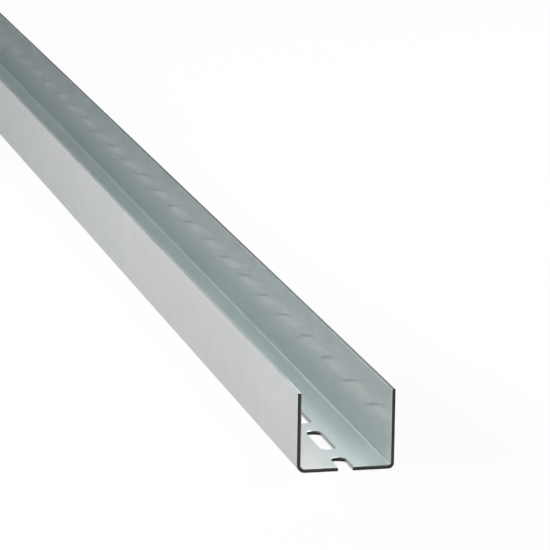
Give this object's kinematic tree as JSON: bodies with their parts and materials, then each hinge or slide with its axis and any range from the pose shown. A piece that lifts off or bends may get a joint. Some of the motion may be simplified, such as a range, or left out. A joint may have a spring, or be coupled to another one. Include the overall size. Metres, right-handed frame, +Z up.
{
  "type": "drywall door-jamb stud, slotted steel u channel",
  "caption": "Plain galvanised steel U channel that stiffens a drywall partition at a door opening, with two equal flanges and a row of long round-ended slots down the middle of its web.",
  "frame": {"origin": "middle of the web's underside, halfway along the stud", "axes": "+X across the web to the right flange, +Y along the stud to its far end, +Z up the flanges; the end shown nearest is at -Y"},
  "size_m": [0.0488, 2.6, 0.04],
  "materials": {
    "galvanised_steel": "hot-dip galvanised sheet, satin, faintly mottled"
  },
  "bodies": {
    "root": {"stud_channel": "galvanised_steel"}
  },
  "joints": []
}
